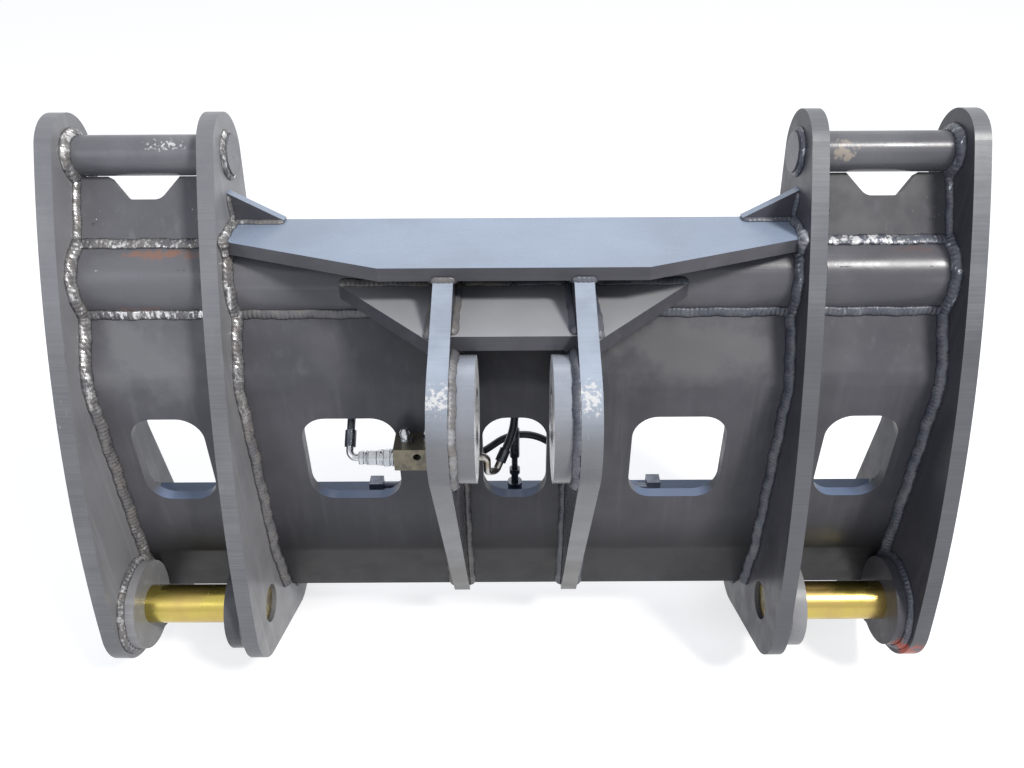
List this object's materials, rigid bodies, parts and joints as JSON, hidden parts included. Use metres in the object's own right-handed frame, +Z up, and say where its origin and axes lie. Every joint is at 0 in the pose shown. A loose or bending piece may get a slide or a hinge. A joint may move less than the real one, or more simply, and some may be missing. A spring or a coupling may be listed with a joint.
{
  "type": "wheel loader quick coupler",
  "caption": "Welded quick coupler for a wheel loader: side plates with hook bars and lift arm pins, bent plate with windows, tilt link ears and hydraulic lock pins.",
  "frame": {"origin": "centre of the tilt link bore, midway between its two bosses", "axes": "+X across the machine along the bore, +Y towards the attachment, +Z up"},
  "size_m": [1.4066, 0.4749, 0.951],
  "materials": {
    "frame_paint": "semi-gloss primer",
    "bar_steel": "painted bar with bright scuffs",
    "bush_steel": "machined",
    "pin_plating": "yellow passivated zinc",
    "rod_chrome": "polished",
    "fitting_steel": "bright zinc",
    "block_plating": "dull yellow zinc",
    "hose_rubber": "satin"
  },
  "bodies": {
    "frame": {"torsion_tube": "frame_paint", "main_plate_middle": "frame_paint", "main_plate_left": "frame_paint", "main_plate_right": "frame_paint", "top_shelf": "frame_paint", "mid_shelf": "frame_paint", "ledge_middle": "frame_paint", "ledge_left": "frame_paint", "ledge_right": "frame_paint", "inner_plate_left": "frame_paint", "outer_plate_left": "frame_paint", "hook_bar_left": "bar_steel", "inner_collar_left": "frame_paint", "outer_collar_left": "frame_paint", "hook_back_plate_left": "frame_paint", "shelf_gusset_left": "frame_paint", "shelf_wing_left": "frame_paint", "link_ear_left": "frame_paint", "link_boss_left": "frame_paint", "link_bush_left": "bush_steel", "lock_housing_left": "frame_paint", "lock_gland_left": "fitting_steel", "lock_barrel_left": "frame_paint", "inner_plate_right": "frame_paint", "outer_plate_right": "frame_paint", "hook_bar_right": "bar_steel", "inner_collar_right": "frame_paint", "outer_collar_right": "frame_paint", "hook_back_plate_right": "frame_paint", "shelf_gusset_right": "frame_paint", "shelf_wing_right": "frame_paint", "link_ear_right": "frame_paint", "link_boss_right": "frame_paint", "link_bush_right": "bush_steel", "lock_housing_right": "frame_paint", "lock_gland_right": "fitting_steel", "lock_barrel_right": "frame_paint", "cylinder_anchor": "frame_paint", "valve_block": "block_plating", "block_screws": "fitting_steel", "block_plug": "bush_steel", "valve_cartridges": "fitting_steel", "left_fitting": "fitting_steel", "right_fitting": "fitting_steel", "centre_riser": "fitting_steel", "hose_riser": "hose_rubber", "hose_tee": "hose_rubber", "hose_cross": "hose_rubber", "hose_ferrules": "fitting_steel", "ledge_port_left": "fitting_steel", "ledge_port_right": "fitting_steel", "cap_line": "fitting_steel"},
    "lift_pin_left_set": {"lift_pin_left": "pin_plating", "keeper_bolt_left": "fitting_steel"},
    "lock_left": {"lock_pin_left": "bush_steel", "lock_rod_left": "rod_chrome"},
    "lift_pin_right_set": {"lift_pin_right": "pin_plating", "keeper_bolt_right": "fitting_steel"},
    "lock_right": {"lock_pin_right": "bush_steel", "lock_rod_right": "rod_chrome"}
  },
  "joints": [
    {"name": "lift_pin_left_slide", "type": "slide", "parent": "frame", "child": "lift_pin_left_set", "axis": [-1, 0, 0], "range_m": [0, 0.255]},
    {"name": "lift_pin_right_slide", "type": "slide", "parent": "frame", "child": "lift_pin_right_set", "axis": [1, 0, 0], "range_m": [0, 0.255]},
    {"name": "lock_left_slide", "type": "slide", "parent": "frame", "child": "lock_left", "axis": [1, 0, 0], "range_m": [0, 0.11]},
    {"name": "lock_right_slide", "type": "slide", "parent": "frame", "child": "lock_right", "axis": [-1, 0, 0], "range_m": [0, 0.11]}
  ],
  "couplings": [
    {"joint": "lock_right_slide", "follows": "lock_left_slide", "ratio": 1}
  ]
}
